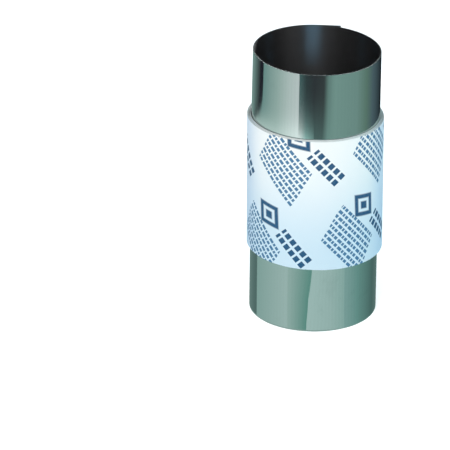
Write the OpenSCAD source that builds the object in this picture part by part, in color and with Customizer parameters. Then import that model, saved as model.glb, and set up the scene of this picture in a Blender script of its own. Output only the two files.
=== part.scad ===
// Roll of shim stock: a thin metal strip wound into an open coil that stands on its end,
// with a loose paper sleeve round its middle. The coil's axis is Z and its foot is at z = 0.

/* [Strip] */
// Width of the strip, which is the height of the coil on its end
strip_width = 152.4; // [50:0.1:305]
// Length of strip in the roll
strip_length = 2540; // [1200:10:6000]
// Thickness of the strip
strip_thickness = 0.0254; // [0.0254:0.0001:0.05]

/* [Coil] */
// Outside diameter of the coil
coil_od = 70; // [50:0.5:120]
// Step from one turn to the next: the strip and the air beside it
turn_pitch = 0.06; // [0.055:0.005:0.12]
// Depth of the groove that shows between two turns on the coil's ends
turn_groove_depth = 0.1; // [0.05:0.05:0.5]

/* [Free end of the strip] */
// Direction of the free end round the coil, in degrees from +X
tail_direction = 70; // [0:5:355]
// Length of strip that has straightened at the free end
tail_length = 12.5; // [6:0.5:20]

/* [Sleeve] */
// Share of the strip's width that the paper sleeve covers
sleeve_share = 0.51; // [0.2:0.01:0.9]
// Number of layers of paper in the sleeve
sleeve_plies = 3; // [2:1:6]
// Step from one layer of paper to the next
ply_pitch = 0.55; // [0.5:0.05:0.8]
// Thickness of the paper
paper_thickness = 0.45; // [0.15:0.05:0.45]
// Depth of the gap that shows between two layers on the sleeve's rims
ply_gap_depth = 1; // [0.5:0.5:3]
// Clearance all round between the coil and the sleeve
sleeve_clearance = 0.6; // [0.3:0.1:1.5]
// Direction that the loose sleeve's top leans to, in degrees from +X
sleeve_lean_direction = 180; // [0:5:355]
// Direction of the paper's glued edge round the sleeve, in degrees from +X
lap_direction = 120; // [0:5:355]

/* [Hidden] */
$fn = 180;

// What a leaning sleeve keeps clear of the coil where they meet
touch_gap = 0.1;
// How deep a joining piece is sunk in the wall that it stands on
root_depth = 0.1;
// What the cutting shapes run past the faces they cut
over = 1;

coil_r = coil_od / 2;
// Turns that the strip's length makes, from length = turns * PI * mean diameter
turns = (coil_od - sqrt(coil_od * coil_od - 4 * turn_pitch * strip_length / PI)) / (2 * turn_pitch);
rings = ceil(turns);
bore_r = coil_r - (rings - 1) * turn_pitch - strip_thickness;

sleeve_height = strip_width * sleeve_share;
bare_height = (strip_width - sleeve_height) / 2;
sleeve_bore_r = coil_r + sleeve_clearance;
sleeve_r = sleeve_bore_r + (sleeve_plies - 1) * ply_pitch + paper_thickness;
sleeve_lean = asin((sleeve_clearance - touch_gap) / sleeve_height);

// Where the free end goes under the sleeve, it stands off the coil by less than the sleeve
// keeps clear on its nearest side
tail_foot_r = coil_r + touch_gap / 2;
tail_top_y = coil_r - root_depth / 2;
tail_foot_y = sqrt(tail_foot_r * tail_foot_r - tail_length * tail_length);
tail_lean = atan((tail_top_y - tail_foot_y) / bare_height);
tail_turn = atan(tail_length / coil_r);

// Half section of a wound wall on z = 0, from radius r. Each turn is flat over its own
// thickness, and a groove shows the air between two turns. foot is the share of the groove's
// width that is flat at its bottom.
function wound_section(r, count, pitch, sheet, height, groove, foot) =
    let (
        outer_r = r + (count - 1) * pitch + sheet,
        grooves = [for (i = [0 : count - 2], p = groove_points(r + i * pitch, pitch, sheet, foot)) p]
    )
    concat(
        [[r, 0]],
        [for (p = grooves) [p[0], p[1] * groove]],
        [[outer_r, 0], [outer_r, height]],
        [for (i = [len(grooves) - 1 : -1 : 0]) [grooves[i][0], height - grooves[i][1] * groove]],
        [[r, height]]
    );

// The groove after the turn that starts at radius r, with its depth as 0 or 1
function groove_points(r, pitch, sheet, foot) =
    let (slope = (pitch - sheet) * (1 - foot) / 2)
    concat(
        [[r + sheet, 0], [r + sheet + slope, 1]],
        foot > 0 ? [[r + pitch - slope, 1]] : [],
        [[r + pitch, 0]]
    );

// The coil is one wound wall round an open bore, with the strip's two ends
module shim_coil() {
    color([0.60, 0.65, 0.63])
        union() {
            difference() {
                rotate_extrude()
                    polygon(wound_section(bore_r, rings, turn_pitch, strip_thickness,
                                          strip_width, turn_groove_depth, 0));
                after_inner_end();
            }
            free_end();
            translate([0, 0, strip_width])
                mirror([0, 0, 1])
                    free_end();
        }
}

// The innermost turn is only part of a turn: this is what it lacks
module after_inner_end() {
    part_turn = 360 * (turns - rings + 1);
    rotate([0, 0, tail_direction + part_turn])
        translate([0, 0, -over])
            rotate_extrude(angle = 360 - part_turn)
                translate([bore_r - over, 0])
                    square([over + turn_pitch, strip_width + 2 * over]);
}

// Over the sleeve the strip's end has lost its curl, and stands off the coil as a flat sheet
// that leans out to its corner
module free_end() {
    intersection() {
        difference() {
            rotate([0, 0, tail_direction + tail_turn - 90])
                translate([0, tail_top_y, strip_width])
                    rotate([-tail_lean, 0, 0])
                        translate([0, -strip_thickness, -strip_width])
                            cube([tail_length, strip_thickness, strip_width + over]);
            translate([0, 0, -over])
                cylinder(r = coil_r - root_depth, h = strip_width + 2 * over);
        }
        translate([0, 0, strip_width / 2])
            cylinder(r = 2 * coil_r, h = strip_width / 2);
    }
}

// The sleeve is paper wound round the coil: it is loose, and hangs aside from its top rim
// till its lower rim meets the metal
module paper_sleeve() {
    color([0.86, 0.91, 0.97])
        translate([0, 0, strip_width - bare_height])
            rotate([0, 0, sleeve_lean_direction])
                rotate([0, sleeve_lean, 0])
                    rotate([0, 0, -sleeve_lean_direction])
                        translate([0, 0, -sleeve_height])
                            union() {
                                rotate_extrude()
                                    polygon(wound_section(sleeve_bore_r, sleeve_plies, ply_pitch,
                                                          paper_thickness, sleeve_height,
                                                          ply_gap_depth, 0.8));
                                glued_lap();
                            }
}

// The outermost layer rises over a quarter turn to the paper's thickness at its glued edge
module glued_lap() {
    rotate([0, 0, lap_direction])
        intersection() {
            difference() {
                translate([paper_thickness, 0, 0])
                    cylinder(r = sleeve_r, h = sleeve_height);
                translate([0, 0, -over])
                    cylinder(r = sleeve_r - root_depth, h = sleeve_height + 2 * over);
            }
            cube([2 * sleeve_r, 2 * sleeve_r, sleeve_height]);
        }
}

shim_coil();
paper_sleeve();
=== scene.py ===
# %% [markdown]
# # A roll of shim stock
# This file dresses a roll of shim stock: an aluminium strip, thinner than a hair, wound into
# an open coil that stands on its end, with a loose paper sleeve round its middle.
# The solids come in as a fixed frame. What is made here is only looks: the wound sheets,
# their finishes, the light and the camera. Everything is in metres once it reaches Blender,
# but the sizes below are written in millimetres, as on a drawing.

# %% Load the frame
import math

import bmesh
import bpy
import numpy as np
from mathutils import Matrix, Vector


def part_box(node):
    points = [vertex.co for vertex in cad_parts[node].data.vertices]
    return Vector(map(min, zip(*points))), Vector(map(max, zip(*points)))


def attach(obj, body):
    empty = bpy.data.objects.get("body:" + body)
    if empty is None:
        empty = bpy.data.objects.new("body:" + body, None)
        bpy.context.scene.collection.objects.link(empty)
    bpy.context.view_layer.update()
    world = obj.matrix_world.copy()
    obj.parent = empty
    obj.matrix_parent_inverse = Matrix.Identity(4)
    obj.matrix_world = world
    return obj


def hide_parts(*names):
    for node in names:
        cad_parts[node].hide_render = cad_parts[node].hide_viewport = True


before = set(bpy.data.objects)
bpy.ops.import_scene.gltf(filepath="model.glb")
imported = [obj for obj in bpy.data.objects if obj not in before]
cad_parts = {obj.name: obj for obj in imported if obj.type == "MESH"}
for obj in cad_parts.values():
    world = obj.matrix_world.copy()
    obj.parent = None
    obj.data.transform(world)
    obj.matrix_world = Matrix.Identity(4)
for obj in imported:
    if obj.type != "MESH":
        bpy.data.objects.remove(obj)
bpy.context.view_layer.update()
MM = 0.001
scene = bpy.context.scene

# %% [markdown]
# ## The sizes of the real thing
# The strip is 6 inches wide, 100 inches long and a thousandth of an inch thick. The height and
# radius of the coil are read from the frame, so the wound sheets made here lie where the
# solids are. Angles go round the coil from +X, and the camera stands on the -Y side.

# %% Sizes
low_corner, high_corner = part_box("shim_coil")
STRIP_WIDTH = high_corner[2] / MM
COIL_R = -low_corner[0] / MM
STRIP_LENGTH = 2540.0
STRIP_THICKNESS = 0.0254
TURN_PITCH = 0.06

SLEEVE_SHARE = 0.51         # of the strip's width, which the sleeve covers
SLEEVE_CLEARANCE = 0.6      # between the coil and the loose sleeve, all round
SLEEVE_HEIGHT = SLEEVE_SHARE * STRIP_WIDTH
SLEEVE_BORE_R = COIL_R + SLEEVE_CLEARANCE
PAPER_THICKNESS = 0.45
PLY_PITCH = 0.55
PLIES = 3                   # turns of paper
SLEEVE_R = SLEEVE_BORE_R + (PLIES - 1) * PLY_PITCH + PAPER_THICKNESS

BARE_HEIGHT = (STRIP_WIDTH - SLEEVE_HEIGHT) / 2
TURNS = (2 * COIL_R - math.sqrt(4 * COIL_R**2 - 4 * TURN_PITCH * STRIP_LENGTH / math.pi)) / (
    2 * TURN_PITCH
)
print(f"coil {2 * COIL_R:.1f} mm across, {TURNS:.2f} turns; sleeve {2 * SLEEVE_R:.1f} mm across")

# %% [markdown]
# ## The camera
# A long lens far away keeps the coil's sides nearly parallel, as product photographs do.
# The place and the lens come from matching the coil's outline to a 6 inch height: 2.5 m away,
# looking down by 25 degrees, with the roll to the right of the frame's middle.
# The camera's axes are built as a matrix, because a small roll about the line of sight is
# easy to add there: first tip the camera up from looking straight down, then roll it.

# %% Camera
CAMERA_PLACE = (-48.717, -2270.781, 1122.254)
CAMERA_DOWN = 25.329        # degrees below the horizon
CAMERA_ROLL = 0.506         # degrees about the line of sight
LENS = 366.16
SENSOR = 36.0

camera = bpy.data.objects.new("camera", bpy.data.cameras.new("camera"))
camera.data.lens = LENS
camera.data.sensor_width = SENSOR
camera.data.clip_start, camera.data.clip_end = 0.1, 50.0
camera.matrix_world = (
    Matrix.Translation(Vector(CAMERA_PLACE) * MM)
    @ Matrix.Rotation(math.radians(90 - CAMERA_DOWN), 4, "X")
    @ Matrix.Rotation(math.radians(CAMERA_ROLL), 4, "Z")
)
scene.collection.objects.link(camera)
scene.camera = camera
print("camera", [round(x, 3) for x in camera.matrix_world.translation], "lens", LENS)

# %% [markdown]
# ## Small helpers for nodes
# A material is a graph of nodes. It could be drawn by hand in the Shader Editor, but a graph
# made by code can be repeated and changed by one value. A few short helpers keep that code
# readable: one adds a node and sets its values, one joins sockets, and one turns a colour as
# we see it on screen (sRGB, 0 to 255) into the linear light that Blender counts in. The
# others reckon with sockets, or mix two colours.

# %% Node helpers
def linear(*rgb):
    """A screen colour, 0 to 255, as linear light with an alpha of 1."""
    c = [v / 255 for v in rgb]
    return [v / 12.92 if v <= 0.04045 else ((v + 0.055) / 1.055) ** 2.4 for v in c] + [1.0]


def add(tree, kind, values=None, **settings):
    """A new node in the tree, with its settings and the values of its sockets."""
    node = tree.nodes.new(kind)
    for name, value in settings.items():
        setattr(node, name, value)
    for name, value in (values or {}).items():
        node.inputs[name].default_value = value
    return node


def join(tree, out, into):
    """A link from an output to an input."""
    tree.links.new(out, into)


def math_node(tree, operation, a, b=None, clamp=False):
    """A Math node. a and b are sockets or numbers. Returns its output."""
    node = add(tree, "ShaderNodeMath", operation=operation, use_clamp=clamp)
    for socket, value in zip(node.inputs, (a, b)):
        if isinstance(value, bpy.types.NodeSocket):
            join(tree, value, socket)
        elif value is not None:
            socket.default_value = value
    return node.outputs[0]


def soft_step(tree, value, low, high):
    """0 under low, 1 over high, and smooth between them."""
    node = add(tree, "ShaderNodeMapRange", interpolation_type="SMOOTHSTEP")
    join(tree, value, node.inputs["Value"])
    for name, v in (("From Min", low), ("From Max", high)):
        if isinstance(v, bpy.types.NodeSocket):
            join(tree, v, node.inputs[name])
        else:
            node.inputs[name].default_value = v
    return node.outputs["Result"]


def mix_colour(tree, factor, a, b, blend="MIX"):
    """A colour Mix node. Each of factor, a and b is a socket or a value."""
    node = add(tree, "ShaderNodeMix", data_type="RGBA", blend_type=blend)
    for name, value in (("Factor_Float", factor), ("A_Color", a), ("B_Color", b)):
        socket = next(s for s in node.inputs if s.identifier == name)
        if isinstance(value, bpy.types.NodeSocket):
            join(tree, value, socket)
        else:
            socket.default_value = value
    return next(s for s in node.outputs if s.identifier == "Result_Color")


print("node helpers ready")

# %% [markdown]
# A node group is a whole graph inside one node, with named sockets of its own. An effect that
# several materials share could be copied into each, but as a group it is built once, and a
# later change reaches them all. These helpers make a group, place it in a material, and make
# a material with one Principled shader.

# %% Groups and materials
def new_group(name, ins, outs):
    """A shader node group with named sockets: (name, kind) or (name, kind, default)."""
    tree = bpy.data.node_groups.new(name, "ShaderNodeTree")
    for side, sockets in (("INPUT", ins), ("OUTPUT", outs)):
        for label, kind, *default in sockets:
            socket = tree.interface.new_socket(
                label, in_out=side, socket_type="NodeSocket" + kind
            )
            if default:
                socket.default_value = default[0]
    return tree, add(tree, "NodeGroupInput"), add(tree, "NodeGroupOutput")


def use_group(tree, group, **values):
    """Places a group in a material. A value's name has _ where the socket's has a space."""
    node = add(tree, "ShaderNodeGroup", node_tree=group)
    for name, value in values.items():
        socket = node.inputs[name.replace("_", " ")]
        if isinstance(value, bpy.types.NodeSocket):
            join(tree, value, socket)
        else:
            socket.default_value = value
    return node


def new_material(name):
    """An empty material with a Principled shader at its output."""
    material = bpy.data.materials.new(name)
    material.use_nodes = True
    tree = material.node_tree
    tree.nodes.clear()
    shader = add(tree, "ShaderNodeBsdfPrincipled")
    join(tree, shader.outputs[0], add(tree, "ShaderNodeOutputMaterial").inputs["Surface"])
    return material, tree, shader


print("group and material helpers ready")

# %% [markdown]
# ## The floor
# The roll stands on a plain pale sweep. The camera should see it as white paper, but more
# lamps would burn out the sleeve. So a little light is added to the floor only for the rays
# that look straight at it or see it in metal or glass: Light Path tells those rays apart.
# The diffuse part stays, so the floor still shows the roll's shadow.

# %% Floor
FLOOR_SIZE = 16.0
FLOOR_GLOW = 0.52

floor_mesh = bpy.data.meshes.new("floor")
half = FLOOR_SIZE / 2
floor_mesh.from_pydata(
    [(-half, -half, 0), (half, -half, 0), (half, half, 0), (-half, half, 0)], [], [(0, 1, 2, 3)]
)
floor = bpy.data.objects.new("floor", floor_mesh)
scene.collection.objects.link(floor)

floor_paint, tree, shader = new_material("floor paint")
shader.inputs["Base Color"].default_value = (0.93, 0.93, 0.93, 1)
shader.inputs["Roughness"].default_value = 0.9
shader.inputs["Specular IOR Level"].default_value = 0.1
shader.inputs["Emission Color"].default_value = (1, 1, 1, 1)
path = add(tree, "ShaderNodeLightPath")
seen = math_node(tree, "MAXIMUM", path.outputs["Is Camera Ray"], path.outputs["Is Glossy Ray"])
seen = math_node(tree, "MAXIMUM", seen, path.outputs["Is Transmission Ray"])
join(tree, math_node(tree, "MULTIPLY", seen, FLOOR_GLOW), shader.inputs["Emission Strength"])
floor_mesh.materials.append(floor_paint)
print("floor", FLOOR_SIZE, "m")

# %% [markdown]
# ## The light
# One big soft lamp stands high on the left of the camera, so the paper is brightest on its
# left front. A weak cool lamp on the right makes that side bluish. The room itself is the
# world: even, and a little blue. Metal would show the lamps as streaks, so they are hidden
# from mirror rays, and the metal gets cards of its own to reflect.

# %% Lamps and world
WORLD_COLOUR = (0.80, 0.92, 0.99)
WORLD_STRENGTH = 0.76


def soft_lamp(name, place, aim, size, watts, colour):
    """A square area lamp at place, facing aim. Places and size are in millimetres."""
    lamp = bpy.data.lights.new(name, "AREA")
    lamp.shape, lamp.size, lamp.energy, lamp.color = "SQUARE", size * MM, watts, colour
    obj = bpy.data.objects.new(name, lamp)
    obj.location = Vector(place) * MM
    direction = Vector(aim) * MM - obj.location
    obj.rotation_mode = "QUATERNION"
    obj.rotation_quaternion = direction.to_track_quat("-Z", "Y")
    obj.visible_glossy = False
    scene.collection.objects.link(obj)


soft_lamp(
    "key_lamp", (-420, -1250, 1150), (0, 0, 90), size=700, watts=12.3, colour=(1.0, 0.92, 0.83)
)
soft_lamp(
    "cool_fill", (1150, 120, 550), (0, 0, 80), size=600, watts=2.5, colour=(0.25, 0.95, 1.0)
)

world = bpy.data.worlds.new("room")
world.use_nodes = True
scene.world = world
world.node_tree.nodes["Background"].inputs["Color"].default_value = (*WORLD_COLOUR, 1)
world.node_tree.nodes["Background"].inputs["Strength"].default_value = WORLD_STRENGTH
scene.view_settings.view_transform = "Standard"
print("world", WORLD_COLOUR, WORLD_STRENGTH)

# %% [markdown]
# ## Cards for the metal to reflect
# Bright metal has hardly any colour of its own: it shows what is round it. A photographer
# lays black and white cards round a metal cylinder to draw light and dark bands down its
# side. We look down on the roll, so a ray that the upright wall mirrors goes on downwards and
# meets the floor: the cards lie flat round the roll, like the blades of a fan. Only the metal
# sees them, so they neither light the paper nor hide the floor.
# A card is laid out by what it draws on the wall. A direction on the wall is in degrees from
# the side that faces the camera, growing to the right. From the wall at direction a, the
# mirrored ray goes off in direction 2a, so a card is a blade that opens twice as wide.

# %% Where a card lies
def mirror_place(direction, distance):
    """Where a ray is that the wall mirrored at a direction, after a distance along the floor."""
    a = math.radians(direction)
    x = COIL_R * math.sin(a) + distance * math.sin(2 * a)
    y = -COIL_R * math.cos(a) - distance * math.cos(2 * a)
    return x, y


print("a ray from wall direction 45 lands at", [round(v) for v in mirror_place(45, 300)], "mm")

# %% [markdown]
# All the cards share one material. A card could be lit by a lamp, as in a studio, but an
# Emission shader gives it exactly the tone that it needs. The tone is a colour attribute on
# the card's points, so that one card can run smoothly from one tone to another.

# %% Card material
CARD_RAYS = ("camera", "diffuse", "transmission", "volume_scatter", "shadow")

graded_card = bpy.data.materials.new("graded card")
graded_card.use_nodes = True
tree = graded_card.node_tree
tree.nodes.clear()
glow = add(tree, "ShaderNodeEmission")
tone = add(tree, "ShaderNodeAttribute", attribute_name="tone").outputs["Color"]
join(tree, tone, glow.inputs["Color"])
join(tree, glow.outputs[0], add(tree, "ShaderNodeOutputMaterial").inputs["Surface"])


def hide_from_all_but_mirrors(card):
    """Puts a card on the stage, where only glossy rays see it."""
    for ray in CARD_RAYS:
        setattr(card, "visible_" + ray, False)
    card.data.materials.append(graded_card)
    scene.collection.objects.link(card)


print("material:", graded_card.name)

# %% [markdown]
# A card is a strip of faces between two or more rings round the roll, each with its own
# distance and height. Cards could be placed by hand and tried out one by one, but laid out
# like this, each draws its band where it is asked to at once.

# %% Card maker
CARD_LIFT = 0.2                    # the cards lie just over the floor
CARD_STEPS = 30                    # faces across a card
UNEVEN = 0.02                      # paper and light on it are never quite even
UNEVEN_RATE, UNEVEN_START = 1.9, 9


def reflection_card(name, rings, sides, tones):
    """A card laid by rings: the (distance, height) of each from the wall outwards, the (start,
    end) wall directions that it spans there, and the (start, end) tones."""
    points, colours, faces = [], [], []
    for (distance, height), (start, end), (first, last) in zip(rings, sides, tones):
        for t in np.linspace(0, 1, CARD_STEPS + 1):
            direction = start + (end - start) * t
            points.append([*mirror_place(direction, distance), height])
            wave = math.sin(UNEVEN_RATE * direction + UNEVEN_START * start)
            uneven = 1 + UNEVEN * wave
            colours.append([*(np.array(first) * (1 - t) + np.array(last) * t) * uneven, 1.0])
    row = CARD_STEPS + 1
    for k in range(len(rings) - 1):
        for p in range(k * row, k * row + CARD_STEPS):
            faces.append((p, p + 1, p + row + 1, p + row))
    mesh = bpy.data.meshes.new(name)
    mesh.from_pydata((np.array(points) * MM).tolist(), [], faces)
    tone = mesh.attributes.new("tone", "FLOAT_COLOR", "POINT")
    tone.data.foreach_set("color", np.array(colours, np.float32).ravel())
    hide_from_all_but_mirrors(bpy.data.objects.new(name, mesh))


print("cards have", CARD_STEPS, "faces from side to side")

# %% [markdown]
# The metal sends back a card's tone times its own colour. Foil is a little green, so the
# tones are only part of the green that we see. They are linear light: 1 is as bright as white
# paper in full light, and the brightest glint needs more. They could be read from a picture of
# a room, but a few named tones are easier to balance.

# %% Tones of the cards
BLACK = (0.042, 0.043, 0.050)
DIM = (0.055, 0.062, 0.065)
DEEP_GREEN = (0.19, 0.29, 0.27)
GREEN = (0.265, 0.405, 0.37)
SOFT_GREEN = (0.44, 0.55, 0.52)
LEAF_GREEN = (0.155, 0.25, 0.205)
SLATE = (0.10, 0.145, 0.17)
SILVER = (0.76, 0.76, 0.77)
NIGHT = (0.01, 0.015, 0.02)
STREAK = (0.02, 0.02, 0.03)
PALE_GREEN = (0.78, 0.89, 0.85)
PALE = (1.06, 1.12, 1.10)
PALE_GREY = (0.65, 0.70, 0.69)
GLEAM = (0.78, 1.22, 1.16)
DUSK = (0.04, 0.055, 0.06)
DARK_GREEN = (0.12, 0.19, 0.18)
MID_GREEN = (0.24, 0.38, 0.35)
DULL_GREEN = (0.19, 0.295, 0.27)
EVEN_GREEN = (0.235, 0.36, 0.33)
print("tones from", NIGHT, "to", PALE)

# %% [markdown]
# The strip above the sleeve looks at the floor 24 to 33 cm away, and these cards draw its
# bands. A band that leans or tapers has other sides near than far. Reading from the left: a
# narrow dark streak that fades out downwards, a green grey that grows to silver, a black band
# with a hard left edge, and a green grey that sinks to black at the right edge. The bands
# could be painted on the metal, but then they would turn with it: a mirrored band stays.

# %% Cards for the strip above the sleeve
NEAR_END, FAR_END = 120, 1500      # how near and how far the cards reach
CARD_STACK = 0.02                  # each card lies a little over the last
# Where a card's sides are given: the distance, and the share of the near tones there
LEFT_STOPS = [(226, 0.68), (257, 1.0), (273, 0.35), (290, 0.0), (308, 0.0)]
TURN_STOPS = [(226, 0.45), (246, 1.0), (264, 0.18), (305, 0.0)]
FRONT_STOPS = [(250, 1.0), (285, 0.35), (320, 0.0)]
UPPER_CARDS = [
    # name, stops, wall directions of the card's sides at each stop, tones near, tones far
    ("left_edge", LEFT_STOPS, [(-93, -77)] * 2 + [(-93, -75.5), (-93, -75), (-93, -75)],
     ((0.26, 0.38, 0.36), DEEP_GREEN), ((0.29, 0.41, 0.385), DEEP_GREEN)),
    ("left_fall", LEFT_STOPS, [(-77, -76)] * 2 + [(-75.5, -71), (-75, -64), (-75, -61.5)],
     (DEEP_GREEN, DEEP_GREEN), (DEEP_GREEN, BLACK)),
    ("left_streak", LEFT_STOPS, [(-76, -74)] * 2 + [(-71, -66), (-64, -59), (-61.5, -56.2)],
     (DEEP_GREEN, DEEP_GREEN), (STREAK, STREAK)),
    ("left_green", LEFT_STOPS, [(-74, -38)] * 2 + [(-66, -38), (-59, -38), (-56.2, -38)],
     ((0.72, 0.84, 0.79), PALE_GREEN), ((0.205, 0.345, 0.33), SOFT_GREEN)),
    ("left_silver", LEFT_STOPS, [(-38, -26)] * 5,
     (PALE_GREEN, PALE), (SOFT_GREEN, PALE_GREY)),
    ("left_bright", LEFT_STOPS, [(-26, -15.9)] * 5,
     (PALE, (1.30, 1.32, 1.32)), (PALE_GREY, SILVER)),
    ("front_turn", TURN_STOPS, [(-15.9, -9.4)] * 4,
     ((2.30, 2.20, 2.20), GLEAM), ((0.085, 0.16, 0.16), DUSK)),
    ("front_grey", TURN_STOPS, [(-9.4, -2)] * 4,
     (GLEAM, (0.35, 0.60, 0.55)), (DUSK, BLACK)),
    ("front_black", FRONT_STOPS, [(-2, 5), (-2, 6), (-2, 6.5)],
     ((0.13, 0.21, 0.20), DARK_GREEN), (BLACK, DIM)),
    ("front_rise", FRONT_STOPS, [(5, 10), (6, 10.5), (6.5, 10.5)],
     (DARK_GREEN, MID_GREEN), (DIM, DULL_GREEN)),
    ("right_rise", FRONT_STOPS, [(10, 16), (10.5, 16), (10.5, 16)],
     (MID_GREEN, GREEN), (DULL_GREEN, GREEN)),
    ("right_green", FRONT_STOPS, [(16, 38)] * 3,
     (GREEN, EVEN_GREEN), (GREEN, EVEN_GREEN)),
    ("right_leaf", FRONT_STOPS, [(38, 50)] * 3,
     (EVEN_GREEN, LEAF_GREEN), (EVEN_GREEN, LEAF_GREEN)),
    ("right_slate", FRONT_STOPS, [(50, 60)] * 3, (LEAF_GREEN, SLATE), (LEAF_GREEN, SLATE)),
    ("right_edge", FRONT_STOPS, [(60, 80)] * 3, (SLATE, NIGHT), (SLATE, NIGHT)),
    ("right_end", FRONT_STOPS, [(80, 93)] * 3, (NIGHT, NIGHT), (NIGHT, NIGHT)),
]
for i, (name, stops, sides, near_tones, far_tones) in enumerate(UPPER_CARDS):
    lift = CARD_LIFT + CARD_STACK * i
    stops = [(NEAR_END, stops[0][1]), *stops, (FAR_END, stops[-1][1])]
    near, far = np.array(near_tones), np.array(far_tones)
    reflection_card(
        "card_" + name,
        [(distance, lift) for distance, share in stops],
        [sides[0], *sides, sides[-1]],
        [near * share + far * (1 - share) for distance, share in stops],
    )
print(len(UPPER_CARDS), "cards further off")

# %% [markdown]
# The strip below the sleeve looks at the floor right beside it, up to 8 cm away. Its bands
# stand straight up, so each card keeps the same wall directions from its near to its far end,
# but for one hard side that leans to the right as it goes up.
# A last narrow card is the shade right at the foot, which draws a fine dark line there.

# %% Cards for the strip below the sleeve
LOWER_STOPS = (0.4, 12, 40, 80, 120)
HARD_SIDE = (-6.5, -6.0, -4.6, -1.4, -1.2)   # wall directions of the leaning side there
FRONT_PALE, FRONT_SOFT = (0.55, 0.69, 0.67), (0.49, 0.63, 0.61)
SHADE = (0.38, 0.48, 0.46)            # of the roll on the floor, close to its foot
SHADE_RINGS = [(-1, 0.14), (1.3, 0.14)]
LOWER_CARDS = [
    # name, wall directions of the card's sides at each stop, tones
    ("left_end", [(-93, -62)] * 5, ((0.20, 0.30, 0.28), (0.12, 0.19, 0.18))),
    ("left_pale", [(-62, -24)] * 5, ((0.34, 0.49, 0.46), (0.52, 0.64, 0.62))),
    ("left_green", [(-24, side) for side in HARD_SIDE], ((0.46, 0.59, 0.56), (0.16, 0.36, 0.31))),
    ("front_pale", [(side, 15) for side in HARD_SIDE], (FRONT_PALE, FRONT_SOFT)),
    ("front_green", [(15, 29)] * 5, (FRONT_SOFT, (0.38, 0.55, 0.52))),
    ("right_green", [(29, 45)] * 5, ((0.32, 0.49, 0.47), (0.19, 0.37, 0.34))),
    ("right_dull", [(45, 68)] * 5, ((0.19, 0.36, 0.33), (0.09, 0.17, 0.16))),
    ("right_end", [(68, 93)] * 5, ((0.10, 0.18, 0.17), (0.16, 0.24, 0.22))),
]
for i, (name, sides, tones) in enumerate(LOWER_CARDS):
    lift = (CARD_LIFT + CARD_STACK * i) / 2
    reflection_card(
        "foot_card_" + name,
        [(distance, lift) for distance in LOWER_STOPS],
        sides,
        [tones] * len(LOWER_STOPS),
    )
reflection_card("foot_shadow", SHADE_RINGS, [(-93, 93)] * 2, [(SHADE, SHADE)] * 2)
print(len(LOWER_CARDS), "cards beside the roll")

# %% [markdown]
# The fans leave the floor bare behind the roll, where the camera never looks. A dull green card
# under them all keeps that side of the metal from turning white.

# %% Card behind the roll
reflection_card(
    "card_ground",
    [(distance, CARD_LIFT / 4) for distance in (-COIL_R, NEAR_END, FAR_END)],
    [(0, 360)] * 3,
    [(GREEN, GREEN)] * 3,
)
print("ground card, out to", FAR_END, "mm")

# %% [markdown]
# All else that the metal could see is a dark tent, so that the bore stays as dark as a deep
# pipe, and a dark disc on the floor inside it. A dark world would be simpler, but here the
# world lights the paper, and the tent keeps the two apart.

# %% Dark tent
TENT_TONE = (0.027, 0.027, 0.027)
TENT_R = 1500
TENT_SIDES = 96
EAVES, PEAK = 900, 2000


def dark_cone(name, low_r, low_z, high_r, high_z):
    """An open cone, or a disc where both heights are the same, in the tent's tone."""
    form = bmesh.new()
    rings = []
    for radius, height in ((low_r, low_z), (high_r, high_z)):
        lift = Matrix.Translation((0, 0, height * MM))
        ring = bmesh.ops.create_circle(
            form, segments=TENT_SIDES, radius=radius * MM, matrix=lift
        )
        rings.append(ring["verts"])
    for k in range(TENT_SIDES):
        quad = (rings[0][k], rings[0][k - 1], rings[1][k - 1], rings[1][k])
        form.faces.new(quad)
    mesh = bpy.data.meshes.new(name)
    form.to_mesh(mesh)
    form.free()
    tone = mesh.attributes.new("tone", "FLOAT_COLOR", "POINT")
    tone.data.foreach_set("color", [*TENT_TONE, 1.0] * len(mesh.vertices))
    hide_from_all_but_mirrors(bpy.data.objects.new(name, mesh))


dark_cone("tent_wall", TENT_R, 0, TENT_R, EAVES)
dark_cone("tent_top", TENT_R, EAVES, 5, PEAK)
dark_cone("bore_floor", COIL_R - 1, CARD_LIFT, 1, CARD_LIFT)
print("tent", TENT_R, "mm in radius")

# %% [markdown]
# The far wall of the bore mirrors what hangs high up behind the camera. A slate card there
# gives it its faint blue stripe, and a haze beside and over the card, which thins out to both
# sides, keeps the wall from going quite black further down. The stripe could be painted on
# the metal, but a mirrored card moves along the wall with the view, as it does on real metal.
# These cards hang just inside the tent, and each ring is a distance and a height.

# %% Haze and slate card
HAZE_TONE = (0.22, 0.22, 0.225)
SLATE_TONE = (0.95, 1.95, 2.75)
OVER_SLATE_TONE = (0.30, 0.32, 0.33)
CARD_R = 1440
ROOF_RING = (700, 1450)
HAZE_RINGS = [(CARD_R, 100), (CARD_R, 890), ROOF_RING]
HAZE_RISE = (0.5, 1.3, 2.2)           # the haze is thicker higher up
HAZE = [  # direction, share of the haze there
    [(-50, 0.0), (-36, 0.07), (-26, 0.26), (-16, 0.55), (-8, 0.6), (-3, 0.6)],
    [(9.5, 0.6), (15, 0.62), (25, 0.78), (35, 0.34), (46, 0.0)],
]
SLATE_SIDES = (-3, 9.5)
SLATE_RINGS = [(CARD_R, 100), (CARD_R, 380), (CARD_R, 430), (CARD_R, 700)]
SLATE_SHARES = (0.3, 0.4, 0.9, 0.9)
OVER_SLATE_RINGS = [(CARD_R, 705), ROOF_RING]

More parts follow.
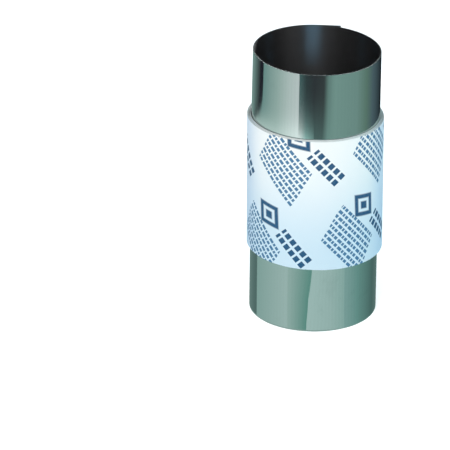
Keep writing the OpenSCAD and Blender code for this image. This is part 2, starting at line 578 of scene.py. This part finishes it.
tent_tone, haze_tone = np.array(TENT_TONE), np.array(HAZE_TONE)
for side in HAZE:
    for (start, less), (end, more) in zip(side, side[1:]):
        tones = [
            [tent_tone * (1 - k) + haze_tone * k * rise for k in (less, more)]
            for rise in HAZE_RISE
        ]
        reflection_card(f"haze_{start}", HAZE_RINGS, [(start, end)] * 3, tones)
slate_tones = [(share * np.array(SLATE_TONE),) * 2 for share in SLATE_SHARES]
reflection_card("slate", SLATE_RINGS, [SLATE_SIDES] * 4, slate_tones)
reflection_card(
    "slate_haze", OVER_SLATE_RINGS, [SLATE_SIDES] * 2, [(OVER_SLATE_TONE, OVER_SLATE_TONE)] * 2
)
print(sum(len(side) - 1 for side in HAZE), "strips of haze, and the slate card")

# %% [markdown]
# One more card hangs behind the roll, where the strip's slit edges, which face up, can mirror
# it. It is bright low down and to the right, and dark higher up and to the left. The edges
# slope inwards a little, so at the front of the mouth they look at its bright part, and at
# the back and the sides at its dark part: that is why only the front of the rim gleams.

# %% Card for the slit edges
RIM_TONE = (0.90, 0.94, 0.95)
BEHIND_RINGS = [(CARD_R, 100), (CARD_R, 330), (CARD_R, 560), (CARD_R, 760), ROOF_RING]
BEHIND_FALL = (1.0, 1.0, 0.15, 0.03, 0.03)       # share of the tone at each ring
BEHIND = [(74, 3.6), (87, 3.6), (91, 2.2), (95, 0.5), (106, 0.2)]   # direction, share there

for (start, less), (end, more) in zip(BEHIND, BEHIND[1:]):
    tones = [[k * fall * np.array(RIM_TONE) for k in (less, more)] for fall in BEHIND_FALL]
    reflection_card(f"behind_{start}", BEHIND_RINGS, [(start, end)] * 5, tones)
print(len(BEHIND) - 1, "strips of the card behind the roll")

# %% [markdown]
# ## Winding a sheet
# Strip and paper are both a sheet wound round and round, so one function makes both. It takes
# a path seen from above, as angles and radii of the sheet's outer face, and sweeps it up in
# rows. A spiral curve with the Solidify modifier would do for one plain roll, but here the
# radius also changes up the sheet, and each point has to be known to well under a tenth of a
# millimetre. The sheet gets its real thickness and closed edges, because a zero-thick surface
# has no edge to catch the light, and isn't a solid that anyone could print or cut.
# The unrolled length becomes u and the height v, in metres, so that a pattern laid on uv has
# its real size.

# %% Wound sheet
CUT = 2     # the material number of the cut edges


def wound_sheet(name, angles, radii, thickness, rows, slope=0.0):
    """A closed sheet. angles, in degrees, has n values along the path. radii and rows are n
    by m, for m rows up the sheet: the radius of its outer face and its height, in mm. slope is
    how much less high, in mm, the inner face is at either cut edge. Faces get material 0 on
    the outer side, 1 on the inner side and CUT on the cut edges."""
    n, m = radii.shape
    a = np.radians(angles)[:, None]
    inner_rows = np.array(np.broadcast_to(rows, radii.shape))
    inner_rows[:, 0] += slope
    inner_rows[:, -1] -= slope
    ring = []
    for r, z in ((radii, rows), (radii - thickness, inner_rows)):
        place = np.broadcast_arrays(r * np.cos(a), r * np.sin(a), z)
        ring.append(np.stack(place, -1).reshape(-1, 3))
    points = np.concatenate(ring) * MM
    outer, inner = np.arange(2 * n * m).reshape(2, n, m)

    def quads(p):
        """Faces of a grid of point numbers."""
        return np.stack([p[:-1, :-1], p[1:, :-1], p[1:, 1:], p[:-1, 1:]], -1).reshape(-1, 4)

    parts = [
        quads(outer),
        quads(inner)[:, ::-1],
        quads(np.stack([inner[:, 0], outer[:, 0]], 1)),
        quads(np.stack([outer[:, -1], inner[:, -1]], 1)),
        quads(np.stack([outer[0], inner[0]], 0)),
        quads(np.stack([inner[-1], outer[-1]], 0)),
    ]
    faces = np.concatenate(parts)
    mesh = bpy.data.meshes.new(name)
    mesh.from_pydata(points.tolist(), [], faces.tolist())
    along = np.concatenate([[0.0], np.cumsum(np.diff(a[:, 0]) * radii[1:, 0])])
    uv = np.stack(np.broadcast_arrays(along[:, None], rows), -1).reshape(-1, 2) * MM
    uv = np.concatenate([uv, uv])
    layer = mesh.uv_layers.new(name="unrolled")
    corners = np.empty(len(mesh.loops), np.int32)
    mesh.loops.foreach_get("vertex_index", corners)
    layer.data.foreach_set("uv", uv[corners].astype(np.float32).ravel())
    kinds = np.repeat([0, 1, CUT, CUT, CUT, CUT], [len(p) for p in parts]).astype(np.int32)
    mesh.polygons.foreach_set("material_index", kinds)
    mesh.polygons.foreach_set("use_smooth", np.ones(len(faces), bool))
    mesh.update()
    sharpen_cut_edges(mesh)
    piece = bpy.data.objects.new(name, mesh)
    scene.collection.objects.link(piece)
    return piece


print("sheet maker ready")

# %% [markdown]
# Smooth shading would round off a sheet's cut edges. An angle limit could find them, but the
# material numbers tell more surely: an edge is sharp where a broad face meets a cut one.

# %% Sharp edges
def sharpen_cut_edges(mesh):
    """Marks the edges between a broad face and a cut edge of the sheet as sharp."""
    kinds = {tuple(sorted(e.vertices)): set() for e in mesh.edges}
    for face in mesh.polygons:
        for key in face.edge_keys:
            kinds[key].add(face.material_index == CUT)
    sharp = mesh.attributes.new("sharp_edge", "BOOLEAN", "EDGE")
    sharp.data.foreach_set("value", [len(kind) == 2 for kind in kinds.values()])


print("edges between broad and cut faces will be sharp")

# %% [markdown]
# ## The strip
# The real coil is one strip wound like a clock spring, each turn a hair's width inside the
# last. Thin foil is never quite round, and it is its faint waves that make its reflections
# live. The open mouth is pressed in a little on its left. Such waves could be sculpted, but
# then each of the twelve turns would need the same ones: here every turn gets them from one
# formula, so the turns stay nested and never cut through one another.

# %% Waves of the foil
DENT = 0.45           # how far the mouth is pressed in on its left
DENT_FROM = 118.0     # the height that the dent starts from


def foil_waves(angles, z):
    """Faint dents and flats of the foil, in mm, the same for every turn."""
    a = np.radians(angles)[:, None]
    waves = 0.030 * np.sin(2 * a + 0.9) * np.cos(z / STRIP_WIDTH * 2.2)
    waves += 0.016 * np.sin(5 * a + z / 31.0 + 0.4) + 0.008 * np.sin(9 * a - z / 19.0 + 2.1)
    near_mouth = np.clip((z - DENT_FROM) / (STRIP_WIDTH - DENT_FROM), 0, 1)
    return waves - DENT * near_mouth * np.clip(-np.cos(a), 0, None) ** 2


print("the mouth is pressed in by", DENT, "mm on its left")

# %% [markdown]
# The strip's outer end has lost its curl: over and under the sleeve, which holds it, the
# corner stands off the coil as a straight leaf. It could be a small sheet of its own, but on
# the real coil it is the same strip, so here it is only more radius near the end of the path.

# %% Free end of the strip
TAIL_LENGTH = 12.5    # how much strip has straightened
TAIL_LIFT = 2.15      # how far the straight corner stands off the coil
TAIL_FROM = 23.5      # how far from mid-height the free end starts to lift


def tail_lift(run, z):
    """How far the free end stands off: run is the distance from the end, z the height."""
    from_middle = np.abs(z - STRIP_WIDTH / 2)
    leaf = np.clip((from_middle - TAIL_FROM) / (STRIP_WIDTH / 2 - TAIL_FROM), 0, 1) ** 1.15
    straight = np.clip(1 - run / TAIL_LENGTH, 0, None) ** 2
    return TAIL_LIFT * leaf * straight


print("the free end's corner stands off by", TAIL_LIFT, "mm")

# %% [markdown]
# Now the strip can be wound. Its rows are closest over and under the sleeve, where it shows,
# because faces that nobody sees cost as much as the others. The slitting knives left its
# edges a little aslant, by five thousandths of a millimetre. That could be left out as too
# small to see, but it is enough to turn what the edges mirror.

# %% Strip geometry
TAIL_DIRECTION = 68.5   # where the free end is, behind the coil
TURN_STEPS = 240        # points in each turn
COIL_ASKEW = 0.018      # how much lower the upper edge is to the right, per mm
SLIT_SLOPE = 0.005      # how much less high the inner side of each slit edge is

strip_angles = TAIL_DIRECTION + np.linspace(0, 360 * TURNS, int(TURN_STEPS * TURNS))
heights = np.concatenate(
    [
        np.linspace(0, BARE_HEIGHT, 6, endpoint=False),
        np.linspace(BARE_HEIGHT, STRIP_WIDTH - BARE_HEIGHT, 3, endpoint=False),
        np.linspace(STRIP_WIDTH - BARE_HEIGHT, STRIP_WIDTH, 7),
    ]
)
run = (strip_angles - TAIL_DIRECTION) / 360 * 2 * math.pi * COIL_R
strip_radii = (
    (COIL_R - TURN_PITCH * (strip_angles - TAIL_DIRECTION) / 360)[:, None]
    + foil_waves(strip_angles, heights[None, :])
    + tail_lift(run[:, None], heights[None, :])
)
askew = COIL_ASKEW * COIL_R * np.cos(np.radians(strip_angles))[:, None]
strip_rows = heights[None, :] * (1 - askew / STRIP_WIDTH)
coil = wound_sheet(
    "wound_strip", strip_angles, strip_radii, STRIP_THICKNESS, strip_rows, SLIT_SLOPE
)
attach(coil, "root")
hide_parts("shim_coil")
print("strip:", len(coil.data.polygons), "faces")

# %% [markdown]
# ## The paper sleeve
# The sleeve is one length of paper wound three times and glued down along its outer edge.
# Each layer lies flat on the one below, and only climbs over the end of the sheet in the
# quarter turn beside it. A tube with three lines on its rim would be quicker, but it has
# neither these steps nor the glued edge.

# %% Path of the paper
LAP_DIRECTION = 120.0   # where the paper's outer edge is glued down
PAPER_STEPS = 300       # points in each turn

paper_run = np.linspace(0, 360 * PLIES, PAPER_STEPS * PLIES)


def climb(angle):
    """0 at the start of a turn and 1 after a quarter turn."""
    return np.clip(angle / 90, 0, 1)


paper_outer = SLEEVE_R + PAPER_THICKNESS * (1 - climb(paper_run))
for ply in range(1, PLIES):
    paper_outer = paper_outer - PLY_PITCH * climb(paper_run - 360 * ply)
print(f"paper wound from {paper_outer[0]:.2f} in to {paper_outer[-1]:.2f} mm")

# %% [markdown]
# The layers have slipped a little along one another, so the inner ones peep out over the
# outer one, and its edges were cut askew: they are highest on the left. On both sides the
# inner layers close in on the metal at the top, and the wall looks thicker. Each layer could
# be a ring of its own, moved by hand, but real paper slips evenly along the whole sheet.

# %% Sleeve geometry
PAPER_ROWS = 17
PAPER_FOOT, PAPER_TOP = 38.2, 114.1   # mean heights of the outer layer's edges
ASKEW, HIGHEST = 0.6, 194.0           # how far they rise, and in which direction
SLIP = 0.25                           # rise of the next layer over the one outside it
CLOSED = 0.42                         # how far the innermost layer closes in at its top

direction = np.radians(LAP_DIRECTION + paper_run)
ragged = 0.03 * np.sin(direction * 11) + 0.02 * np.sin(direction * 23 + 1)
raised = ragged + ASKEW * np.cos(direction - math.radians(HIGHEST)) + SLIP * paper_run / 360
foot_edge, top_edge = PAPER_FOOT + raised, PAPER_TOP + raised
share = np.linspace(0, 1, PAPER_ROWS)[None, :]
paper_rows = foot_edge[:, None] * (1 - share) + top_edge[:, None] * share
inwards = np.clip(paper_run / 360 - 0.5, 0, PLIES - 1) / (PLIES - 1)
inwards = inwards * np.abs(np.cos(direction)) ** 3
paper_radii = paper_outer[:, None] - CLOSED * inwards[:, None] * share ** 2
sleeve = wound_sheet(
    "paper_band", LAP_DIRECTION + paper_run, paper_radii, PAPER_THICKNESS, paper_rows
)
print("sleeve:", len(sleeve.data.polygons), "faces")

# %% [markdown]
# The sleeve is loose, so it hangs slightly aslant: its foot to the right, and its top to the
# back. A rotation would do, but it would also lift one side. A matrix that only shifts each
# height sideways, as one slides a pack of cards, leaves every height as it was.

# %% Hang the sleeve
SIDE_PLAY = 0.5       # how far the foot hangs to the right
BACK_PLAY = 0.45      # how far the top hangs to the back

hang = Matrix.Identity(4)
hang[0][2] = -SIDE_PLAY / SLEEVE_HEIGHT
hang[0][3] = SIDE_PLAY / SLEEVE_HEIGHT * (STRIP_WIDTH - BARE_HEIGHT) * MM
hang[1][2] = BACK_PLAY / SLEEVE_HEIGHT
hang[1][3] = -BACK_PLAY / SLEEVE_HEIGHT * BARE_HEIGHT * MM
sleeve.data.transform(hang)
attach(sleeve, "root")
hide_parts("paper_sleeve")
print("sleeve hung, by", SIDE_PLAY, "and", BACK_PLAY, "mm")

# %% [markdown]
# ## Marks that both finishes share
# Metal and paper are both handled, so both carry faint cloudy marks. They could be painted on
# an image by hand, but a noise has no seam and stays sharp at any distance. The effect is a
# node group, built once: it puts out a mask, and each material decides what the mask does.

# %% Cloudy marks group
cloudy_marks, ins, outs = new_group(
    "cloudy marks",
    [("Vector", "Vector"), ("Size", "Float", 40.0), ("Cover", "Float", 0.5)],
    [("Mask", "Float")],
)
noise = add(
    cloudy_marks, "ShaderNodeTexNoise", {"Detail": 4.0, "Roughness": 0.62, "Distortion": 0.6}
)
join(cloudy_marks, ins.outputs["Vector"], noise.inputs["Vector"])
join(cloudy_marks, ins.outputs["Size"], noise.inputs["Scale"])
half_cover = math_node(cloudy_marks, "MULTIPLY", ins.outputs["Cover"], 0.5)
low = math_node(cloudy_marks, "SUBTRACT", 0.80, half_cover)
high = math_node(cloudy_marks, "ADD", low, 0.18)
join(cloudy_marks, soft_step(cloudy_marks, noise.outputs["Fac"], low, high), outs.inputs["Mask"])
print("group:", cloudy_marks.name)

# %% [markdown]
# ## Rolled foil
# The strip was rolled between polished rolls: it is a mirror along its length, and a little
# rough across it, from lines too fine to see one by one. So a reflection stays sharp from
# left to right and smears up and down. That is what the shader's Anisotropic value does, with
# a Tangent that runs round the axis. Lines cut into the mesh would need millions of faces,
# so the visible part of the grain is a noise that is drawn out round the coil, and feeds the
# bump and the roughness.

# %% Rolled grain group
rolled_grain, ins, outs = new_group(
    "rolled grain",
    [("Unrolled", "Vector"), ("Lines", "Float", 2500.0), ("Stretch", "Float", 0.01)],
    [("Height", "Float"), ("Mask", "Float")],
)
scale = add(rolled_grain, "ShaderNodeCombineXYZ", {"Y": 1.0, "Z": 1.0})
join(rolled_grain, ins.outputs["Stretch"], scale.inputs["X"])
drawn = add(rolled_grain, "ShaderNodeVectorMath", operation="MULTIPLY")
join(rolled_grain, ins.outputs["Unrolled"], drawn.inputs[0])
join(rolled_grain, scale.outputs[0], drawn.inputs[1])
fine = add(rolled_grain, "ShaderNodeTexNoise", {"Detail": 3.0, "Roughness": 0.7})
join(rolled_grain, drawn.outputs[0], fine.inputs["Vector"])
join(rolled_grain, ins.outputs["Lines"], fine.inputs["Scale"])
join(rolled_grain, fine.outputs["Fac"], outs.inputs["Height"])
join(rolled_grain, soft_step(rolled_grain, fine.outputs["Fac"], 0.35, 0.75), outs.inputs["Mask"])
print("group:", rolled_grain.name)

# %% [markdown]
# ## The foil's finish
# Both faces of the strip are bare metal, so one function makes both: Metallic is 1, and nearly
# all the look comes from what is mirrored, and how sharply. The outer face is bright, and the
# inner one is given a duller finish, because the images in the bore are soft. Its colour is
# also darker and greyer than the outer face's: that is painted shade, to keep the bore dark.
# A Glossy shader would do as well here, but the Principled one is what other programs read.

# %% Foil material
FOIL = (0.58, 0.68, 0.66, 1)
FOIL_DULL = (0.52, 0.62, 0.60, 1)
# the inner face's colours: darker and greyer than the outer face's, as painted shade of the bore
INSIDE_SHADED = (0.50, 0.50, 0.51, 1)
INSIDE_SHADED_DULL = (0.44, 0.44, 0.44, 1)
GRAIN_LINES, GRAIN_STRETCH = 2600.0, 0.012
MARKS_ROUGH, GRAIN_ROUGH = 0.02, 0.015    # what the marks and the grain add to the roughness


def rolled_foil(name, roughness, clean, dull, stretch):
    """The finish of one face. stretch is how much the marks are drawn out up and down."""
    material, tree, shader = new_material(name)
    unrolled = add(tree, "ShaderNodeUVMap", uv_map="unrolled").outputs[0]
    place = add(tree, "ShaderNodeTexCoord").outputs["Object"]
    grain = use_group(
        tree, rolled_grain, Unrolled=unrolled, Lines=GRAIN_LINES, Stretch=GRAIN_STRETCH
    )
    drawn = add(tree, "ShaderNodeVectorMath", operation="MULTIPLY")
    drawn.inputs[1].default_value = (1, 1, stretch)
    join(tree, place, drawn.inputs[0])
    marks = use_group(tree, cloudy_marks, Vector=drawn.outputs[0], Size=34.0, Cover=0.45)
    colour = mix_colour(tree, marks.outputs["Mask"], clean, dull)
    join(tree, colour, shader.inputs["Base Color"])
    dulled = math_node(tree, "MULTIPLY", marks.outputs["Mask"], MARKS_ROUGH)
    scored = math_node(tree, "MULTIPLY", grain.outputs["Mask"], GRAIN_ROUGH)
    rough = math_node(tree, "ADD", math_node(tree, "ADD", dulled, scored), roughness)
    join(tree, rough, shader.inputs["Roughness"])
    shader.inputs["Metallic"].default_value = 1.0
    shader.inputs["Anisotropic"].default_value = 0.95
    shader.inputs["Anisotropic Rotation"].default_value = 0.25
    tangent = add(tree, "ShaderNodeTangent", direction_type="RADIAL", axis="Z")
    join(tree, tangent.outputs[0], shader.inputs["Tangent"])
    bump = add(tree, "ShaderNodeBump", {"Strength": 0.05, "Distance": 0.00002})
    join(tree, grain.outputs["Height"], bump.inputs["Height"])
    join(tree, bump.outputs[0], shader.inputs["Normal"])
    return material


coil.data.materials.append(rolled_foil("rolled foil", 0.062, FOIL, FOIL_DULL, 1.0))
# the inner face is rougher, and its darker colour is painted shade
coil.data.materials.append(rolled_foil("foil inside shaded", 0.42, INSIDE_SHADED, INSIDE_SHADED_DULL, 0.1))
print("foil:", [m.name for m in coil.data.materials])

# %% [markdown]
# The slit edges were sheared, not rolled: they have no grain, only coarse, small marks, and
# they are rougher than the faces. They could share the faces' material, but its grain runs
# the wrong way there, and the rim is where the eye looks first.

# %% Slit edges
BURR, BURR_DULL = (0.68, 0.76, 0.75, 1), (0.52, 0.60, 0.59, 1)

slit_edge, tree, shader = new_material("slit edge")
place = add(tree, "ShaderNodeTexCoord").outputs["Object"]
marks = use_group(tree, cloudy_marks, Vector=place, Size=700.0, Cover=0.5)
join(tree, mix_colour(tree, marks.outputs["Mask"], BURR, BURR_DULL), shader.inputs["Base Color"])
shader.inputs["Metallic"].default_value = 1.0
shader.inputs["Roughness"].default_value = 0.30
coil.data.materials.append(slit_edge)
print("material:", slit_edge.name)

# %% [markdown]
# ## Printed paper
# The sleeve is cut from wrapping paper that was printed in blue before it was cut: blocks of
# dashed rows, each beside a nested lozenge, slanting down to the right. An image could hold
# it, but one made from Math nodes stays sharp however near the camera comes. A pattern of
# this kind is best laid out in the unrolled sheet, in millimetres, and turned by its slant.
# Then it repeats like real print, and runs off the paper's edge wherever the sheet was cut.

# %% Print group
printed, ins, outs = new_group(
    "block print",
    [
        ("Unrolled", "Vector"),
        ("Slant", "Float", 0.0),
        ("Shift Along", "Float"),
        ("Shift Across", "Float"),
    ],
    [("Bold", "Float"), ("Fine", "Float")],
)
BLOCK_LONG, BLOCK_WIDE = 58.0, 46.0     # the print repeats after so many millimetres
COLUMN_SHIFT = 0.42                     # and every column starts further on by this share
SOFT_EDGE = 0.08                        # ink has no quite sharp edge


def calc(operation, a, b=None):
    """A Math node in the print group."""
    return math_node(printed, operation, a, b)


def inside(value, low, high):
    """1 where a socket's value lies between low and high, with edges a little soft."""
    centre, half = (low + high) / 2, (high - low) / 2
    from_edge = calc("SUBTRACT", half, calc("ABSOLUTE", calc("SUBTRACT", value, centre)))
    return soft_step(printed, from_edge, -SOFT_EDGE, SOFT_EDGE)


turn = add(printed, "ShaderNodeVectorRotate", rotation_type="Z_AXIS")
in_mm = add(printed, "ShaderNodeVectorMath", operation="SCALE")
in_mm.inputs["Scale"].default_value = 1 / MM
join(printed, ins.outputs["Unrolled"], in_mm.inputs[0])
join(printed, in_mm.outputs[0], turn.inputs["Vector"])
join(printed, ins.outputs["Slant"], turn.inputs["Angle"])
split = add(printed, "ShaderNodeSeparateXYZ")
join(printed, turn.outputs[0], split.inputs[0])
along = calc("ADD", split.outputs["X"], ins.outputs["Shift Along"])
across = calc("ADD", split.outputs["Y"], ins.outputs["Shift Across"])
column = calc("FLOOR", calc("DIVIDE", across, BLOCK_WIDE))
along = calc("ADD", along, calc("MULTIPLY", column, BLOCK_LONG * COLUMN_SHIFT))
x = calc("FLOORED_MODULO", along, BLOCK_LONG)
y = calc("FLOORED_MODULO", across, BLOCK_WIDE)
print("the print repeats every", BLOCK_LONG, "by", BLOCK_WIDE, "mm")

# %% [markdown]
# The fine part is a slanting block of dashes, set like bricks. Whether a point is in a dash
# is a question of where it lies within its row and its brick, and a floored modulo gives that
# place for all the rows at once.

# %% Fine rows
BLOCK_LEAN = 0.35
ROW = 3.0
BRICK, BRICK_STEP = 8.4, 3.1            # its length, and how much further on each row starts
DASHES = ((0.3, 3.2), (3.8, 5.2), (5.8, 7.8))

lean_x = calc("ADD", x, calc("MULTIPLY", y, BLOCK_LEAN))
row = calc("FLOORED_MODULO", y, ROW)
step = calc("MULTIPLY", calc("FLOOR", calc("DIVIDE", y, ROW)), BRICK_STEP)
brick = calc("FLOORED_MODULO", calc("ADD", x, step), BRICK)
lengths = calc("MAXIMUM", inside(brick, *DASHES[0]), inside(brick, *DASHES[1]))
lengths = calc("MAXIMUM", lengths, inside(brick, *DASHES[2]))
dash = calc("MULTIPLY", inside(row, 0.5, 2.3), lengths)
block = calc("MULTIPLY", inside(lean_x, 9.0, 42.0), inside(y, 6.6, 29.7))
join(printed, calc("MULTIPLY", dash, block), outs.inputs["Fine"])
print("rows of dashes", ROW, "mm apart")

# %% [markdown]
# The bold part is a nested lozenge over the block, and two rows of thick bars beside it. The
# distances from a centre along x and along y, added up, are the same all round a lozenge, just
# as the true distance is all round a circle.

# %% Bold motifs
LOZENGE_X, LOZENGE_Y = 11.5, 37.2
LOZENGE_WIDE, LOZENGE_HIGH = 10.0, 8.2  # half of its width and of its height
BAR_STEP = 4.2

off_x = calc("ABSOLUTE", calc("SUBTRACT", x, LOZENGE_X))
off_y = calc("ABSOLUTE", calc("SUBTRACT", y, LOZENGE_Y))
lozenge = calc("ADD", calc("DIVIDE", off_x, LOZENGE_WIDE), calc("DIVIDE", off_y, LOZENGE_HIGH))
nested = calc("MAXIMUM", inside(lozenge, 0.62, 1.0), inside(lozenge, -1.0, 0.34))
bar = inside(calc("FLOORED_MODULO", x, BAR_STEP), 0.7, 3.7)
thick = calc("MULTIPLY", bar, inside(x, 23.1, 46.2))
bars = calc("MULTIPLY", thick, calc("MAXIMUM", inside(y, 38.0, 41.4), inside(y, 33.0, 36.4)))
join(printed, calc("MAXIMUM", nested, bars), outs.inputs["Bold"])
print("group:", printed.name)

# %% [markdown]
# Paper is felted fibre: seen close it is faintly flecked and never flat. Single fibres could
# be curves, but at this size a noise that is a little distorted shows as much. The cut edges
# show the same fibres, greyer and rougher, so the flecks are a group that both use.

# %% Paper fibre group
fibre, ins, outs = new_group(
    "paper fibre",
    [("Vector", "Vector"), ("Size", "Float", 900.0)],
    [("Fleck", "Float"), ("Height", "Float")],
)
felt = add(fibre, "ShaderNodeTexNoise", {"Detail": 5.0, "Roughness": 0.7, "Distortion": 1.5})
join(fibre, ins.outputs["Vector"], felt.inputs["Vector"])
join(fibre, ins.outputs["Size"], felt.inputs["Scale"])
join(fibre, soft_step(fibre, felt.outputs["Fac"], 0.3, 0.7), outs.inputs["Fleck"])
join(fibre, felt.outputs["Fac"], outs.inputs["Height"])
print("group:", fibre.name)

# %% [markdown]
# On the outer face, under the print, the paper runs from pale blue at the foot of the sheet
# to white towards its top. Seen aslant, the paper is bluer still, which Layer Weight can tell:
# that bluer tint is painted shade, standing in for cool light at the sleeve's sides. Coloured
# lamps alone could tint it too, but then it would be white under any other light.

# %% Paper colour, with painted shade aslant
PAPER_WHITE = (0.91, 0.92, 0.92, 1)
# the paper's colour at the foot of the sheet: bluer than at its top
PAPER_FOOT_BLUE = (0.60, 0.755, 0.865, 1)
PAPER_ASLANT_SHADE = (0.50, 0.68, 0.90, 1)   # painted bluish shade, where the paper is seen aslant
PAPER_FLECK = (0.70, 0.76, 0.80, 1)
ASLANT_SHADE_SHARE, FLECK_SHARE = 0.5, 0.10
BLUE_FROM, BLUE_TO = 0.114, 0.044     # heights in metres, as uv has them

paper, tree, shader = new_material("printed paper")
unrolled = add(tree, "ShaderNodeUVMap", uv_map="unrolled").outputs[0]
place = add(tree, "ShaderNodeTexCoord").outputs["Object"]
flecks = use_group(tree, fibre, Vector=place, Size=900.0)
height = add(tree, "ShaderNodeSeparateXYZ")
join(tree, unrolled, height.inputs[0])
# the paper runs from white near its top to pale blue towards its foot
bluer_to_foot = soft_step(tree, height.outputs["Y"], BLUE_FROM, BLUE_TO)
sheet = mix_colour(tree, bluer_to_foot, PAPER_WHITE, PAPER_FOOT_BLUE)
aslant = add(tree, "ShaderNodeLayerWeight", {"Blend": 0.5}).outputs["Facing"]
# painted shade: the paper is mixed towards a bluer tone where it is seen aslant
painted_aslant_shade = math_node(tree, "MULTIPLY", soft_step(tree, aslant, 0.38, 0.78), ASLANT_SHADE_SHARE)
sheet = mix_colour(tree, painted_aslant_shade, sheet, PAPER_ASLANT_SHADE)
flecked = math_node(tree, "MULTIPLY", flecks.outputs["Fleck"], FLECK_SHARE)
sheet = mix_colour(tree, flecked, sheet, PAPER_FLECK)
bump = add(tree, "ShaderNodeBump", {"Strength": 0.25, "Distance": 0.00003})
join(tree, flecks.outputs["Height"], bump.inputs["Height"])
join(tree, bump.outputs[0], shader.inputs["Normal"])
print("paper, with its wash from", BLUE_FROM, "down to", BLUE_TO, "m")

# %% [markdown]
# The ink is a little uneven, as on any soft paper, and shinier than the paper itself. Only the
# outermost layer is printed: the unrolled length tells it from the layers below, so one
# material serves for the whole outer side of the sheet.

# %% Ink on the paper
PRINT_SLANT = 48                      # degrees
PRINT_ALONG, PRINT_ACROSS = 48.3, -13.5
INK = linear(4, 76, 118)
INK_PALE = linear(62, 116, 156)
INK_WORN = 0.07                       # how much less ink the fibres that stand out have
PAPER_ROUGH, MARKED_ROUGH, INK_GLOSS = 0.58, 0.1, 0.12

marks = use_group(tree, cloudy_marks, Vector=place, Size=26.0, Cover=0.3)
ink = use_group(
    tree,
    printed,
    Unrolled=unrolled,
    Slant=math.radians(PRINT_SLANT),
    Shift_Along=PRINT_ALONG,
    Shift_Across=PRINT_ACROSS,
)
worn = math_node(tree, "MULTIPLY", flecks.outputs["Fleck"], INK_WORN)
worn = math_node(tree, "SUBTRACT", 1.0, worn)
outermost = math_node(tree, "LESS_THAN", height.outputs["X"], 2 * math.pi * SLEEVE_BORE_R * MM)
worn = math_node(tree, "MULTIPLY", worn, outermost)
fine = math_node(tree, "MULTIPLY", ink.outputs["Fine"], worn)
bold = math_node(tree, "MULTIPLY", ink.outputs["Bold"], worn)
sheet = mix_colour(tree, fine, sheet, INK_PALE)
sheet = mix_colour(tree, bold, sheet, INK)
join(tree, sheet, shader.inputs["Base Color"])
shader.inputs["Specular IOR Level"].default_value = 0.2
inked = math_node(tree, "MAXIMUM", ink.outputs["Fine"], ink.outputs["Bold"])
gloss = math_node(tree, "MULTIPLY", inked, -INK_GLOSS)
marked = math_node(tree, "MULTIPLY", marks.outputs["Mask"], MARKED_ROUGH)
rough = math_node(tree, "ADD", marked, PAPER_ROUGH)
join(tree, math_node(tree, "ADD", rough, gloss), shader.inputs["Roughness"])
print("ink", [round(v, 3) for v in INK[:3]], "and", [round(v, 3) for v in INK_PALE[:3]])

# %% [markdown]
# The inner side of the sheet and its cut edges are the paper itself, unprinted, greyer and
# rougher. It could be the same material with the ink left out, but a plain one of its own is
# easier to read, and the fibres come from the same group.

# %% Cut paper
CUT_PAPER, CUT_FLECK = (0.64, 0.69, 0.68, 1), (0.48, 0.54, 0.53, 1)

cut_paper, tree, shader = new_material("cut paper")
place = add(tree, "ShaderNodeTexCoord").outputs["Object"]
flecks = use_group(tree, fibre, Vector=place, Size=2200.0)
shade = mix_colour(tree, flecks.outputs["Fleck"], CUT_PAPER, CUT_FLECK)
join(tree, shade, shader.inputs["Base Color"])
shader.inputs["Roughness"].default_value = 0.9
bump = add(tree, "ShaderNodeBump", {"Strength": 0.4, "Distance": 0.00004})
join(tree, flecks.outputs["Height"], bump.inputs["Height"])
join(tree, bump.outputs[0], shader.inputs["Normal"])

for material in (paper, cut_paper, cut_paper):
    sleeve.data.materials.append(material)
print("paper:", [m.name for m in sleeve.data.materials])
